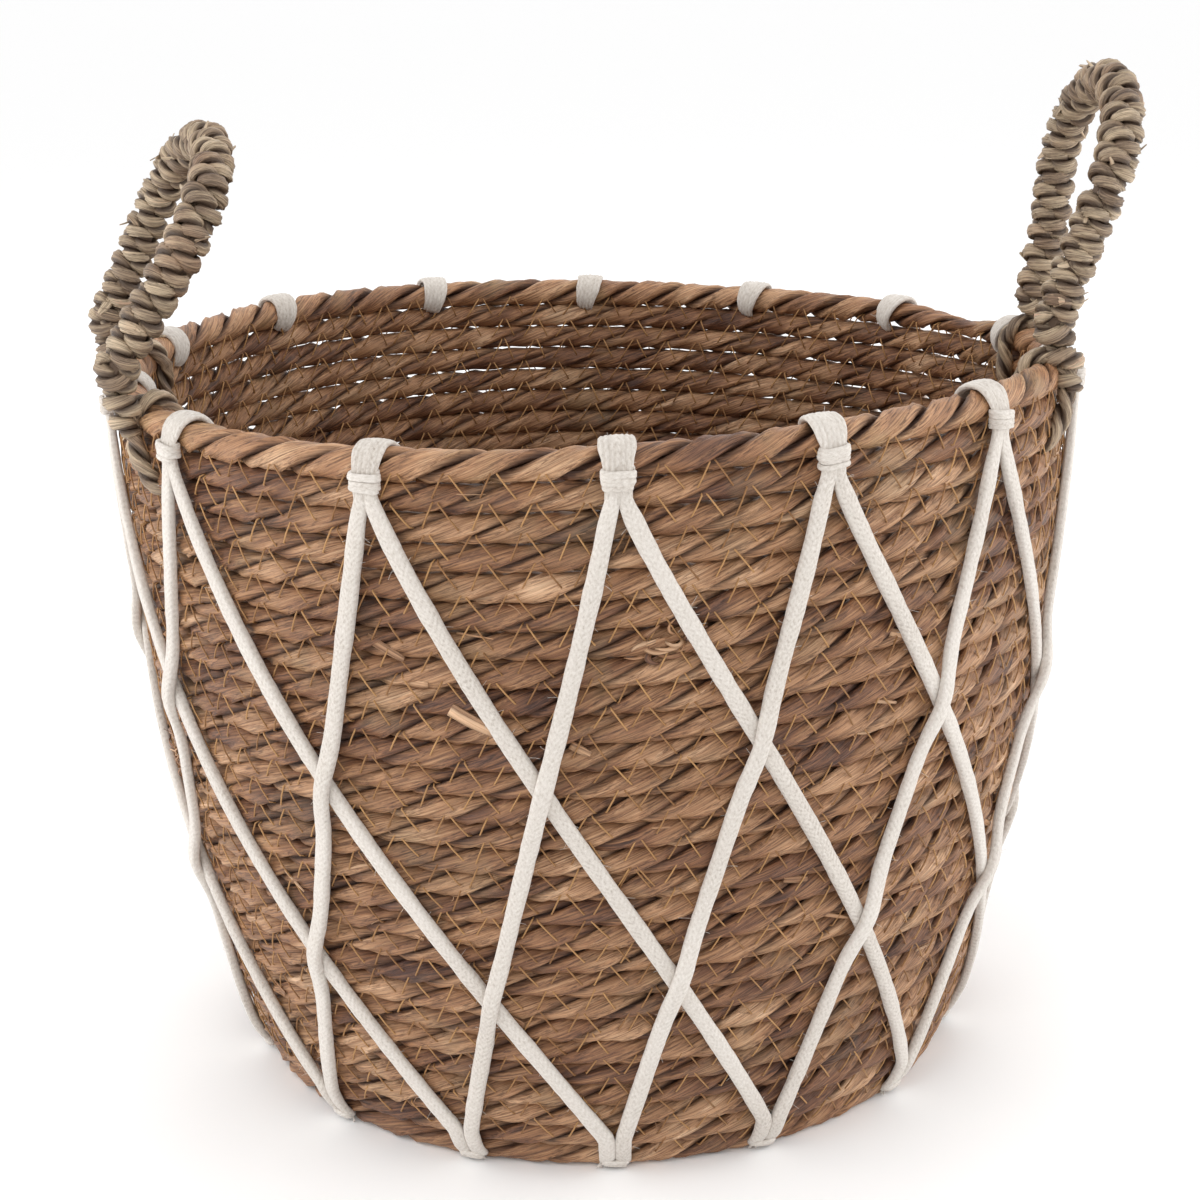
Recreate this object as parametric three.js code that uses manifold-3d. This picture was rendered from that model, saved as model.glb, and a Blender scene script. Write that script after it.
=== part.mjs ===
// Woven laundry basket: a coiled rush tub, laced with cotton cord, with two wound seagrass handles.
// Millimetres, +Z up. The origin is the middle of the underside, -Y is the front, and the handles
// stand at the left (-X) and the right (+X). Angles run from the front (-Y) towards the right (+X).
import * as THREE from 'three';
import Module from 'manifold-3d';

const wasm = await Module();
wasm.setup();

// ---- driving dimensions -------------------------------------------------------------------
const GAP = 0.4;                 // clearance between pieces that touch

const COURSES = 27;              // turns of rope in the wall, without the rim rope
const COURSE_PITCH = 11;         // height of one course
const ROPE_R = 5;                // half the thickness of the wall rope
const GROOVE = 2.2;              // depth of the groove between two courses
const WALL_TOP = COURSES * COURSE_PITCH;
const WALL_SEGMENTS = 36;
const FACET = Math.cos(Math.PI / WALL_SEGMENTS);   // a flat facet's middle, as a share of the radius

const BASE_R = 146;              // middle of the wall rope at the floor, before the edge is rounded
const RIM_R = 185;               // middle of the rim rope
const BELLY = 10.5;              // how far the wall swells at half height
const EDGE_ROUND = 4;            // how far the lowest course is drawn in
const EDGE_HEIGHT = 8;           // height over which the lower edge is rounded

const RIM_ROPE_R = 5.5;
const RIM_SEGMENTS = 48;
const RIM_SIDES = 8;
const RIM_Z = WALL_TOP + RIM_ROPE_R + GAP;

const OVAL = 0.045;              // the tub is this much wider than round, and as much shallower
const WAVE = 3.6;                // the rim rises and dips by this much round the tub

const TIES = 14;
const TIE_STEP = (2 * Math.PI) / TIES;
const FIRST_TIE = THREE.MathUtils.degToRad(-2.7);
// How far each tie was set off even spacing, in degrees, at the rim and at the base.
const RIM_DRIFT = [1.8, -1.9, -4, -1, 0, 1.3, 0, -0.3, -1.9, -1, 0, 0, -0.6, 2];
const BASE_DRIFT = [0.5, -2.6, -1.7, 0, 0, 0, 0, 0, 0, 0, 1, 3, 6, 4.7];

const CORD_W = 6;                // a cotton strand, flattened a little
const CORD_T = 3.8;
const CORD_FACE = 0.6;           // flat share of a cord's width; the rest is bevelled
const BOUND_T = 3;               // thickness of a strand where yarn is bound round it
const SIDE = 3.4;                // two strands lie side by side, this far from their middle line
const STRAND_OUT = 3.1;          // strand middle from the wall, for strands that fall to the right
const STRAND_OVER = 7.7;         // the same for strands that fall to the left, over the others
const BOUND_OUT = 4;             // the same inside a binding
const RIM_OUT = 4.4;             // the same inside a rim whipping, which lies over the rim rope
const STRAND_TOP = 284;
const STRAND_FOOT = 18;
const STRAND_LOW = [10, 7, 4.5, 1.2];   // a strand's last heights, down to its end at the lower edge
const STRAND_BOW = 1.12;         // above 1, a strand falls more steeply near the rim
const SADDLE_T = 2.6;            // thickness of the cord where it is spread over the rim rope
const SADDLE_W = 12;
const SADDLE_FOOT_W = 8.4;       // its width at the rim rope's outermost point, inside the whipping
const SADDLE_EXIT = 2;           // how far under the saddle the cord comes back out through the wall

const BINDING_T = 1.2;           // thickness of the yarn bound round a cord
const BINDING_CORNER = 0.8;
const WHIPPING = { z: RIM_Z - 3.5, height: 7, halfW: SADDLE_FOOT_W / 2 + GAP, out: RIM_OUT };
const BASE_TIE = { z: 4.5, height: 5.5, halfW: SIDE + CORD_W / 2 + GAP, out: BOUND_OUT };

const HANDLE_ANGLE = THREE.MathUtils.degToRad(80);
const HALF_CHORD = 46;           // half the distance between the feet of a handle
const HANDLE_R = 8.7;            // radius of the wound rope over its turns
const HANDLE_GROOVE = 1.3;       // depth between two turns
const HANDLE_END_R = 6.6;        // radius at the rounded end of a leg
const HANDLE_SIDES = 8;
const HANDLE_TURNS = 27;
const TURN_TILT = 2.6;           // how far a turn leans along the rope
const CORE_R = 4.7;
const CORE_INSET = 2;            // the core ends this far inside the winding
const BORE_R = 5.6;              // inside of the winding
const BORE_STATIONS = 18;
const LEG_TAIL = 7;              // how far a leg goes on below the hinge line
const HINGE_CLEAR = 9.6;         // room that a leg's rounded end needs round the hinge line

const BRAID_W = 11;              // the flat braid that holds a handle foot
const BRAID_T = 4.5;
const BRAID_LOW = 275;           // where the braid goes through the wall
const HINGE_Z = RIM_Z + rimReach(BRAID_T) + BRAID_T / 2 + GAP + HINGE_CLEAR;

// `rise` goes from the hinge line up to the middle of the rope at the top. `stand` is how far the
// hinge line stands out from the middle of the rim rope.
const HANDLES = [
  { name: 'left', side: -1, lean: -30, twist: -5.6, rise: 88, stand: 12 },
  { name: 'right', side: 1, lean: 13, twist: -11, rise: 92.5, stand: 2 },
];

const RUSH = new THREE.Color(0x9a7048);
const RUSH_LIGHT = new THREE.Color(0xa97d52);
const SEAGRASS = new THREE.Color(0x9a8a64);
const SEAGRASS_DARK = new THREE.Color(0x7d6f50);
const COTTON = new THREE.Color(0xe8e2d6);

// ---- shape of the tub ---------------------------------------------------------------------

// From the middle of the rim rope to the middle of a cord of thickness t bent round it in 45 degree steps.
function rimReach(t) {
  return (RIM_ROPE_R + GAP + t / 2) / Math.cos(Math.PI / 8);
}

// Middle of the wall rope at a height, on a perfectly round tub.
function wallRadius(z) {
  const t = z / RIM_Z;
  const cone = BASE_R + (RIM_R - BASE_R) * t;
  return cone + BELLY * 4 * t * (1 - t) - EDGE_ROUND * Math.exp(-z / EDGE_HEIGHT);
}

function at(angle, r, z) {
  return new THREE.Vector3(r * Math.sin(angle), -r * Math.cos(angle), z);
}

// A hand-made tub is a little oval, and its rim isn't level. Every piece of it follows that.
function outOfTrue(p) {
  const angle = Math.atan2(p.x, -p.y);
  const lift = WAVE * (p.z / RIM_Z) * Math.sin(2 * angle);
  return new THREE.Vector3(p.x * (1 + OVAL), p.y * (1 - OVAL), p.z + lift);
}

// ---- solids from rings of points ----------------------------------------------------------

function signedVolume(points, faces) {
  let volume = 0;
  for (const [a, b, c] of faces) {
    const cross = new THREE.Vector3().crossVectors(points[b], points[c]);
    volume += points[a].dot(cross) / 6;
  }
  return volume;
}

function solid(points, faces) {
  const outward = signedVolume(points, faces) > 0;
  const index = faces.flatMap(([a, b, c]) => (outward ? [a, b, c] : [a, c, b]));
  const geometry = new THREE.BufferGeometry();
  const flat = points.flatMap((p) => [p.x, p.y, p.z]);
  geometry.setAttribute('position', new THREE.Float32BufferAttribute(flat, 3));
  geometry.setIndex(index);
  return geometry;
}

// Joins rings of equal length. A looped loft closes on its first ring; an open one gets end caps.
function loft(rings, looped) {
  const n = rings[0].length;
  const points = rings.flat();
  const faces = [];
  const last = looped ? rings.length : rings.length - 1;
  for (let i = 0; i < last; i++) {
    const next = (i + 1) % rings.length;
    for (let j = 0; j < n; j++) {
      const k = (j + 1) % n;
      faces.push([i * n + j, i * n + k, next * n + k]);
      faces.push([i * n + j, next * n + k, next * n + j]);
    }
  }
  if (!looped) {
    const end = (rings.length - 1) * n;
    for (let j = 1; j < n - 1; j++) {
      faces.push([0, j + 1, j]);
      faces.push([end, end + j, end + j + 1]);
    }
  }
  return solid(points, faces);
}

// A flat cord along stations { p, out, w, t }: width w across it, and thickness t along out.
function ribbon(stations, looped) {
  const count = stations.length;
  const rings = stations.map(({ p, out, w, t }, i) => {
    const before = stations[looped ? (i + count - 1) % count : Math.max(i - 1, 0)].p;
    const after = stations[looped ? (i + 1) % count : Math.min(i + 1, count - 1)].p;
    const along = new THREE.Vector3().subVectors(after, before).normalize();
    const across = new THREE.Vector3().crossVectors(along, out).normalize();
    const normal = new THREE.Vector3().crossVectors(across, along).normalize();
    const face = CORD_FACE;
    const corners = [[1, 0], [face, 1], [-face, 1], [-1, 0], [-face, -1], [face, -1]];
    return corners.map(([u, v]) => p.clone()
      .addScaledVector(across, (u * w) / 2)
      .addScaledVector(normal, (v * t) / 2));
  });
  return loft(rings, looped);
}

// ---- manifold-3d: cutting -----------------------------------------------------------------

function toManifold(geometry) {
  return new wasm.Manifold(new wasm.Mesh({
    numProp: 3,
    vertProperties: new Float32Array(geometry.attributes.position.array),
    triVerts: new Uint32Array(geometry.index.array),
  }));
}

function cut(geometry, cutters) {
  const tools = wasm.Manifold.union(cutters.map(toManifold));
  const mesh = toManifold(geometry).subtract(tools).getMesh();
  const result = new THREE.BufferGeometry();
  result.setAttribute('position', new THREE.Float32BufferAttribute(mesh.vertProperties, 3));
  result.setIndex(Array.from(mesh.triVerts));
  return result;
}

// A block through the wall at an angle, from height low to high.
function wallBlock(angle, offset, width, low, high) {
  const inner = wallRadius(low) - 3 * ROPE_R;
  const outer = wallRadius(low) + 3 * ROPE_R;
  const rings = [inner, outer].map((r) => [[-1, low], [1, low], [1, high], [-1, high]]
    .map(([u, z]) => {
      const across = new THREE.Vector3(Math.cos(angle), Math.sin(angle), 0);
      return at(angle, r, z).addScaledVector(across, offset + (u * width) / 2);
    }));
  return loft(rings, false);
}

function warp(geometry) {
  const position = geometry.attributes.position;
  for (let i = 0; i < position.count; i++) {
    const p = outOfTrue(new THREE.Vector3().fromBufferAttribute(position, i));
    position.setXYZ(i, p.x, p.y, p.z);
  }
  return geometry;
}

// ---- the tub ------------------------------------------------------------------------------

// The wall's section: grooves between the courses outside, and a plain inside.
function wallSection(angle) {
  const section = [];
  for (let k = 0; k < COURSES; k++) {
    const groove = k * COURSE_PITCH;
    const crest = (k + 0.5) * COURSE_PITCH;
    section.push(at(angle, wallRadius(groove) + ROPE_R - GROOVE, groove));
    section.push(at(angle, wallRadius(crest) + ROPE_R, crest));
  }
  section.push(at(angle, wallRadius(WALL_TOP) + ROPE_R - GROOVE, WALL_TOP));
  for (let k = COURSES; k >= 0; k -= 3) {
    const z = k * COURSE_PITCH;
    section.push(at(angle, wallInside(z), z));
  }
  return section;
}

function wallInside(z) {
  return wallRadius(z) - ROPE_R + GROOVE / 3;
}

function wallOutside(z) {
  return wallRadius(z) + ROPE_R;
}

function ringAngles(count) {
  return Array.from({ length: count }, (_, i) => (i * 2 * Math.PI) / count);
}

// The angle of tie k. Numbers past the last tie go on round the tub.
function tieAngle(k, drift) {
  return FIRST_TIE + k * TIE_STEP + THREE.MathUtils.degToRad(drift[(k + TIES) % TIES]);
}

const tieNumbers = Array.from({ length: TIES }, (_, k) => k);

// Angles of the two feet of a handle round the tub.
function footAngles(side) {
  const half = HALF_CHORD / (RIM_R * (1 - OVAL));
  return { front: side * (HANDLE_ANGLE - half), back: side * (HANDLE_ANGLE + half) };
}

function wallCoil() {
  const blank = loft(ringAngles(WALL_SEGMENTS).map(wallSection), true);
  const notchLow = RIM_Z - rimReach(SADDLE_T) - SADDLE_EXIT - SADDLE_T / 2 - 2 * GAP;
  const notches = tieNumbers.map((k) => (
    wallBlock(tieAngle(k, RIM_DRIFT), SIDE, CORD_W + 3 * GAP, notchLow, WALL_TOP + ROPE_R)));
  const slotLow = BRAID_LOW - BRAID_T / 2 - GAP;
  const slotHigh = BRAID_LOW + BRAID_T / 2 + 4 * GAP;
  const slots = HANDLES.flatMap(({ side }) => Object.values(footAngles(side)).map((angle) => (
    wallBlock(angle, 0, BRAID_W + 3 * GAP, slotLow, slotHigh))));
  return warp(cut(blank, [...notches, ...slots]));
}

// The floor is a flat spiral. Its turns show as ridges inside, and it is flat underneath.
function baseCoil() {
  const radius = wallInside(0) * FACET - GAP;
  const turns = Math.floor(radius / COURSE_PITCH);
  const pitch = radius / turns;
  const profile = [new THREE.Vector2(0, 0), new THREE.Vector2(radius, 0)];
  for (let k = turns; k > 0; k--) {
    profile.push(new THREE.Vector2(k * pitch, 2 * ROPE_R - GROOVE));
    profile.push(new THREE.Vector2((k - 0.5) * pitch, 2 * ROPE_R));
  }
  profile.push(new THREE.Vector2(0, 2 * ROPE_R - GROOVE));
  const rings = ringAngles(WALL_SEGMENTS);
  const points = [at(0, 0, 0), at(0, 0, 2 * ROPE_R - GROOVE)];
  const body = profile.slice(1, -1);
  for (const angle of rings) {
    points.push(...body.map((v) => at(angle, v.x, v.y)));
  }
  const n = body.length;
  const faces = [];
  for (let i = 0; i < rings.length; i++) {
    const a = 2 + i * n;
    const b = 2 + ((i + 1) % rings.length) * n;
    faces.push([0, b, a]);
    faces.push([1, a + n - 1, b + n - 1]);
    for (let j = 0; j < n - 1; j++) {
      faces.push([a + j, b + j, b + j + 1]);
      faces.push([a + j, b + j + 1, a + j + 1]);
    }
  }
  return warp(solid(points, faces));
}

function rimRope() {
  const sides = ringAngles(RIM_SIDES);
  const rings = ringAngles(RIM_SEGMENTS).map((angle) => sides.map((phi) => (
    at(angle, RIM_R + RIM_ROPE_R * Math.cos(phi), RIM_Z + RIM_ROPE_R * Math.sin(phi)))));
  return warp(loft(rings, true));
}

// ---- cotton lacing ------------------------------------------------------------------------

// A point by its place along the rim from an angle, its distance out of the wall, and its height.
function offWall(angle, along, out, z) {
  const r = wallOutside(z) + out;
  return at(angle + along / r, r, z);
}

// One strand from rim tie k down to the base tie that is `steps` ties along.
function strand(k, steps, standOff) {
  const side = Math.sign(steps);
  const rim = tieAngle(k, RIM_DRIFT);
  const base = tieAngle(k + steps, BASE_DRIFT);
  const count = 3 + 2 * Math.abs(steps);
  const stations = [];
  for (let i = 0; i <= count; i++) {
    const s = i / count;
    const ends = Math.min(1, 5 * s, 5 * (1 - s));
    const out = THREE.MathUtils.lerp(BOUND_OUT, standOff, ends);
    const angle = THREE.MathUtils.lerp(rim, base, s ** STRAND_BOW);
    const z = THREE.MathUtils.lerp(STRAND_TOP, STRAND_FOOT, s);
    const along = side * SIDE * (1 - 2 * s);
    const t = THREE.MathUtils.lerp(BOUND_T, CORD_T, ends);
    stations.push({ p: offWall(angle, along, out, z), out: at(angle, 1, 0), w: CORD_W, t });
  }
  for (const z of STRAND_LOW) {
    const p = offWall(base, -side * SIDE, BOUND_OUT, z);
    stations.push({ p, out: at(base, 1, 0), w: CORD_W, t: BOUND_T });
  }
  return stations;
}

// The cord over the rim rope: it spreads to the saddle's width on top and comes back under the rope.
function saddle(angle) {
  const reach = rimReach(SADDLE_T);
  const stations = [];
  for (let degrees = 0; degrees <= 270; degrees += 45) {
    const phi = THREE.MathUtils.degToRad(degrees);
    const spread = Math.max(0, Math.sin(phi));
    const along = THREE.MathUtils.clamp((degrees - 90) / 135, 0, 1) * SIDE;
    const bound = degrees === 0;
    const r = bound ? wallOutside(RIM_Z) + RIM_OUT : RIM_R + reach * Math.cos(phi);
    const z = RIM_Z + reach * Math.sin(phi);
    const out = at(angle, Math.cos(phi), Math.sin(phi));
    const w = THREE.MathUtils.lerp(bound ? SADDLE_FOOT_W : CORD_W, SADDLE_W, spread);
    stations.push({ p: at(angle + along / r, r, z), out, w, t: SADDLE_T });
  }
  const exit = RIM_Z - reach - SADDLE_EXIT;
  const cornerOut = at(angle, -Math.SQRT1_2, -Math.SQRT1_2);
  stations.push({ p: offWall(angle, SIDE, BOUND_OUT, exit), out: cornerOut, w: CORD_W, t: SADDLE_T });
  return stations;
}

function laceCord(k) {
  const angle = tieAngle(k, RIM_DRIFT);
  const out = at(angle, 1, 0);
  const low = WHIPPING.z - WHIPPING.height / 2 - GAP;
  const neck = { p: offWall(angle, 0, RIM_OUT, low), out, w: SADDLE_FOOT_W, t: SADDLE_T };
  const left = strand(k, -1, STRAND_OVER).reverse();
  const right = strand(k, 2, STRAND_OUT);
  for (const station of right) {
    station.out.negate();
  }
  return warp(ribbon([...left, neck, ...saddle(angle), ...right], false));
}

// Yarn bound round a cord, or round two strands that lie side by side.
function binding(angle, { z, height, halfW, out: standOff }) {
  const halfT = BOUND_T / 2 + 2 * GAP;
  const loop = [];
  for (const [u, v] of [[1, 1], [-1, 1], [-1, -1], [1, -1]]) {
    const flatFirst = u * v > 0;
    const onSide = [u * halfW, v * (halfT - BINDING_CORNER), u, 0];
    const onFace = [u * (halfW - BINDING_CORNER), v * halfT, 0, v];
    loop.push(...(flatFirst ? [onSide, onFace] : [onFace, onSide]));
  }
  const rings = loop.map(([along, out, nu, nv]) => {
    const profile = [[0, -height / 2], [BINDING_T, -height / 3], [BINDING_T, height / 3], [0, height / 2]];
    return profile.map(([thick, dz]) => (
      offWall(angle, along + nu * thick, standOff + out + nv * thick, z + dz)));
  });
  return warp(loft(rings, true));
}

// ---- handles ------------------------------------------------------------------------------

// The frame of a handle: feet on the hinge line, up along the lean, and out of the arch's plane.
function handleFrame({ side, lean, stand }) {
  const { front, back } = footAngles(side);
  const footFront = outOfTrue(at(front, RIM_R + stand, HINGE_Z));
  const footBack = outOfTrue(at(back, RIM_R + stand, HINGE_Z));
  const chord = new THREE.Vector3().subVectors(footBack, footFront);
  const half = chord.length() / 2;
  chord.normalize();
  const outward = new THREE.Vector3(side, 0, 0);
  outward.addScaledVector(chord, -outward.dot(chord)).normalize();
  const upright = new THREE.Vector3(0, 0, 1);
  upright.addScaledVector(chord, -chord.z).normalize();
  const tilt = THREE.MathUtils.degToRad(lean);
  const up = upright.clone().multiplyScalar(Math.cos(tilt)).addScaledVector(outward, Math.sin(tilt));
  const normal = new THREE.Vector3().crossVectors(chord, up).normalize();
  const middle = new THREE.Vector3().addVectors(footFront, footBack).multiplyScalar(0.5);
  return { middle, chord, up, normal, half };
}

// The middle line of a handle's rope by length from the end of its front leg.
function handleCurve(handle) {
  const { middle, chord, up, normal, half } = handleFrame(handle);
  const leg = handle.rise - half + LEG_TAIL;
  const arc = Math.PI * half;
  const length = 2 * leg + arc;
  const twist = THREE.MathUtils.degToRad(handle.twist);
  const pointAt = (s) => {
    const theta = THREE.MathUtils.clamp((s - leg) / half, 0, Math.PI);
    const below = Math.max(0, leg - s) + Math.max(0, s - leg - arc);
    const u = -half * Math.cos(theta);
    const v = handle.rise - half + half * Math.sin(theta) - below;
    const turn = twist * THREE.MathUtils.smoothstep(v, 0, handle.rise);
    return middle.clone()
      .addScaledVector(chord, u * Math.cos(turn))
      .addScaledVector(normal, u * Math.sin(turn))
      .addScaledVector(up, v);
  };
  return { pointAt, length, normal };
}

// A ring of points round the rope at length s. The ring leans along the rope by `tilt`.
function ropeRing({ pointAt, length, normal }, s, radius, tilt, sides) {
  const step = 1;
  return ringAngles(sides).map((phi) => {
    const here = THREE.MathUtils.clamp(s + tilt * Math.cos(phi), 0, length);
    const ahead = pointAt(Math.min(here + step, length));
    const behind = pointAt(Math.max(here - step, 0));
    const along = new THREE.Vector3().subVectors(ahead, behind).normalize();
    const side = new THREE.Vector3().crossVectors(along, normal).normalize();
    const face = new THREE.Vector3().crossVectors(side, along).normalize();
    return pointAt(here)
      .addScaledVector(side, radius * Math.cos(phi))
      .addScaledVector(face, radius * Math.sin(phi));
  });
}

function handleCore(handle) {
  const curve = handleCurve(handle);
  const rings = [];
  for (let i = 0; i <= BORE_STATIONS; i++) {
    const s = THREE.MathUtils.lerp(CORE_INSET, curve.length - CORE_INSET, i / BORE_STATIONS);
    rings.push(ropeRing(curve, s, CORE_R, 0, HANDLE_SIDES));
  }
  return loft(rings, false);
}

// Turns of twisted cord with a hollow middle for the core. The ends are rounded off.
function handleWinding(handle) {
  const curve = handleCurve(handle);
  const bodyStart = LEG_TAIL - 2;
  const turn = (curve.length - 2 * bodyStart) / HANDLE_TURNS;
  const rings = [ropeRing(curve, 0, HANDLE_END_R, 0, HANDLE_SIDES)];
  for (let i = 0; i <= 2 * HANDLE_TURNS; i++) {
    const radius = i % 2 === 0 ? HANDLE_R - HANDLE_GROOVE : HANDLE_R;
    const tilt = i === 0 || i === 2 * HANDLE_TURNS ? 0 : TURN_TILT;
    rings.push(ropeRing(curve, bodyStart + (i * turn) / 2, radius, tilt, HANDLE_SIDES));
  }
  rings.push(ropeRing(curve, curve.length, HANDLE_END_R, 0, HANDLE_SIDES));
  for (let i = BORE_STATIONS; i >= 0; i--) {
    const s = (curve.length * i) / BORE_STATIONS;
    rings.push(ropeRing(curve, s, BORE_R, 0, HANDLE_SIDES));
  }
  return loft(rings, true);
}

// A flat braid over the rim rope, down both faces of the wall, and through it below two courses.
function footBraid(angle) {
  const reach = rimReach(BRAID_T);
  const path = [];
  for (let degrees = 0; degrees <= 180; degrees += 45) {
    const phi = THREE.MathUtils.degToRad(degrees);
    path.push([RIM_R + reach * Math.cos(phi), RIM_Z + reach * Math.sin(phi), Math.cos(phi), Math.sin(phi)]);
  }
  const bend = 0.75 * BRAID_T;
  const outer = wallOutside(BRAID_LOW) + GAP + BRAID_T / 2;
  const inner = wallInside(BRAID_LOW) * FACET - GAP - BRAID_T / 2;
  path.push([inner, BRAID_LOW + bend, -1, 0]);
  path.push([inner + bend, BRAID_LOW, 0, -1]);
  path.push([outer - bend, BRAID_LOW, 0, -1]);
  path.push([outer, BRAID_LOW + bend, 1, 0]);
  const stations = path.map(([r, z, nr, nz]) => (
    { p: at(angle, r, z), out: at(angle, nr, nz), w: BRAID_W, t: BRAID_T }));
  return warp(ribbon(stations, true));
}

// ---- assembly -----------------------------------------------------------------------------

function named(name, geometry, color, roughness) {
  const material = new THREE.MeshStandardMaterial({ color, roughness, metalness: 0 });
  const mesh = new THREE.Mesh(geometry, material);
  mesh.name = name;
  return mesh;
}

const basket = new THREE.Group();
basket.name = 'laundry_basket';

basket.add(named('base_coil', baseCoil(), RUSH, 0.85));
basket.add(named('wall_coil', wallCoil(), RUSH, 0.85));
basket.add(named('rim_rope', rimRope(), RUSH_LIGHT, 0.8));

for (const k of tieNumbers) {
  const number = String(k + 1).padStart(2, '0');
  const whipping = binding(tieAngle(k, RIM_DRIFT), WHIPPING);
  const baseTie = binding(tieAngle(k, BASE_DRIFT), BASE_TIE);
  basket.add(named(`lacing_cord_${number}`, laceCord(k), COTTON, 0.95));
  basket.add(named(`rim_whipping_${number}`, whipping, COTTON, 0.95));
  basket.add(named(`base_tie_${number}`, baseTie, COTTON, 0.95));
}

for (const handle of HANDLES) {
  basket.add(named(`${handle.name}_handle_core`, handleCore(handle), SEAGRASS_DARK, 0.9));
  basket.add(named(`${handle.name}_handle_winding`, handleWinding(handle), SEAGRASS, 0.8));
  for (const [end, angle] of Object.entries(footAngles(handle.side))) {
    basket.add(named(`${handle.name}_${end}_foot_braid`, footBraid(angle), SEAGRASS, 0.8));
  }
}

export default basket;
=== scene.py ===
"""Looks of a woven laundry basket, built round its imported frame.

The tub is one long two-ply rush rope, coiled and stitched. Cotton cord laces it outside, and the two
handles are wound with seagrass cord. Lengths here are millimetres, in the frame's own axes (+Z up, -Y
front), and turn into metres when a mesh is made. Angles run from the front (-Y) towards the right (+X).
"""
import math
from collections import namedtuple

import bpy
import numpy as np
from mathutils import Matrix, Vector


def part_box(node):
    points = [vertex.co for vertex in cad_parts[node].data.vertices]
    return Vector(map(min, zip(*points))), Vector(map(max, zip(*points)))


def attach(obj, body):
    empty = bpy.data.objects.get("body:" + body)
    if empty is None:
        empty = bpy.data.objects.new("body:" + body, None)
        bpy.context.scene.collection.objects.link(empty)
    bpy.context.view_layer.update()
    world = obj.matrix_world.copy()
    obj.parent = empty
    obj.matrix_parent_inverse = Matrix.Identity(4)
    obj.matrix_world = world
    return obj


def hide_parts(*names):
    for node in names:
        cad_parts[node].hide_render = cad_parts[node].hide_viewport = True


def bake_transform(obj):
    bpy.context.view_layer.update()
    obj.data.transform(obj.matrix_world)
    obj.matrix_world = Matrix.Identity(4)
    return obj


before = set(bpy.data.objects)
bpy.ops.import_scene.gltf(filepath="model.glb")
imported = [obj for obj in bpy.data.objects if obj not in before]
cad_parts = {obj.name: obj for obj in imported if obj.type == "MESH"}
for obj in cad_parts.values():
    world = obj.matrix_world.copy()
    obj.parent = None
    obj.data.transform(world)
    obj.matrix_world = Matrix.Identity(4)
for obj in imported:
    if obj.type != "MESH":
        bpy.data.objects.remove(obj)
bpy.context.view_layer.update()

MM = 0.001

# ---- driving dimensions, the same as the frame's ----
COURSES = 27                 # turns of rope in the wall
COURSE_PITCH = 11.0
ROPE_R = 5.0                 # half the thickness of the frame's wall
BASE_R = 146.0               # middle of the wall rope at the floor
BELLY = 10.5                 # how far the wall swells at half height
EDGE_ROUND = 4.0             # how far the lowest course is drawn in
EDGE_HEIGHT = 8.0
OVAL = 0.045                 # the tub is this much wider than round, and as much shallower
WAVE = 3.6                   # the rim rises and dips by this much
RIM_ROPE_R = 5.5
TIES = 14
TIE_STEP = math.tau / TIES
FIRST_TIE = math.radians(-2.7)
# How far each tie was set off even spacing, in degrees, at the rim and at the base.
RIM_DRIFT = (1.8, -1.9, -4, -1, 0, 1.3, 0, -0.3, -1.9, -1, 0, 0, -0.6, 2)
BASE_DRIFT = (0.5, -2.6, -1.7, 0, 0, 0, 0, 0, 0, 0, 1, 3, 6, 4.7)
HANDLE_ANGLE = math.radians(80)
HALF_CHORD = 46.0            # half the distance between the feet of a handle
# `lean` and `twist` are in degrees, `rise` goes from the hinge line to the middle of the rope at the
# top, and `stand` is how far the hinge line stands out from the middle of the rim rope.
Handle = namedtuple("Handle", "side lean twist rise stand seed")
HANDLES = {
    "left": Handle(side=-1, lean=-30.0, twist=-5.6, rise=88.0, stand=12.0, seed=300),
    "right": Handle(side=1, lean=13.0, twist=-11.0, rise=92.5, stand=2.0, seed=340),
}


def node_box(node):
    low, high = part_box(node)
    return np.array(low) / MM, np.array(high) / MM


rim_low, rim_high = node_box("rim_rope")
RIM_R = rim_high[0] / (1 + OVAL) - RIM_ROPE_R
RIM_Z = (rim_low[2] + rim_high[2]) / 2

# ---- lengths along paths ----
SMOOTHING_ROUNDS = 4         # each one doubles the points of a path


def unit(v):
    return v / np.maximum(np.linalg.norm(v, axis=-1, keepdims=True), 1e-9)


def smoothstep(t):
    t = np.clip(t, 0, 1)
    return t * t * (3 - 2 * t)


def arc_length(path):
    steps = np.linalg.norm(np.diff(path, axis=0), axis=1)
    return np.concatenate([[0.0], np.cumsum(steps)])


def wander(s, step, seed):
    """A smooth random curve from -1 to 1 along lengths s, with a new value every `step`."""
    values = np.random.default_rng(seed).uniform(-1, 1, int(s[-1] / step) + 3)
    place = s / step
    low = np.floor(place).astype(int)
    share = smoothstep(place - low)
    return values[low] * (1 - share) + values[low + 1] * share


def resample(path, step):
    """Points about `step` apart on a smooth curve that follows the given ones."""
    points = np.array(path, float)
    for _ in range(SMOOTHING_ROUNDS):
        fine = np.empty((2 * len(points) - 1, 3))
        fine[::2] = points
        fine[1::2] = (points[:-1] + points[1:]) / 2
        middle = slice(1, -1)
        fine[middle] = (fine[:-2] + 2 * fine[1:-1] + fine[2:]) / 4
        points = fine
    s = arc_length(points)
    places = np.linspace(0, s[-1], max(int(s[-1] / step), 3) + 1)
    return np.stack([np.interp(places, s, points[:, k]) for k in range(3)], -1)


def moving_frame(path, out):
    """Unit vectors across a path, and out of it as near to the given directions as they can be."""
    along = unit(np.gradient(path, axis=0))
    across = unit(np.cross(out, along))
    return across, np.cross(along, across)


# ---- the tub's shape ----


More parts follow.
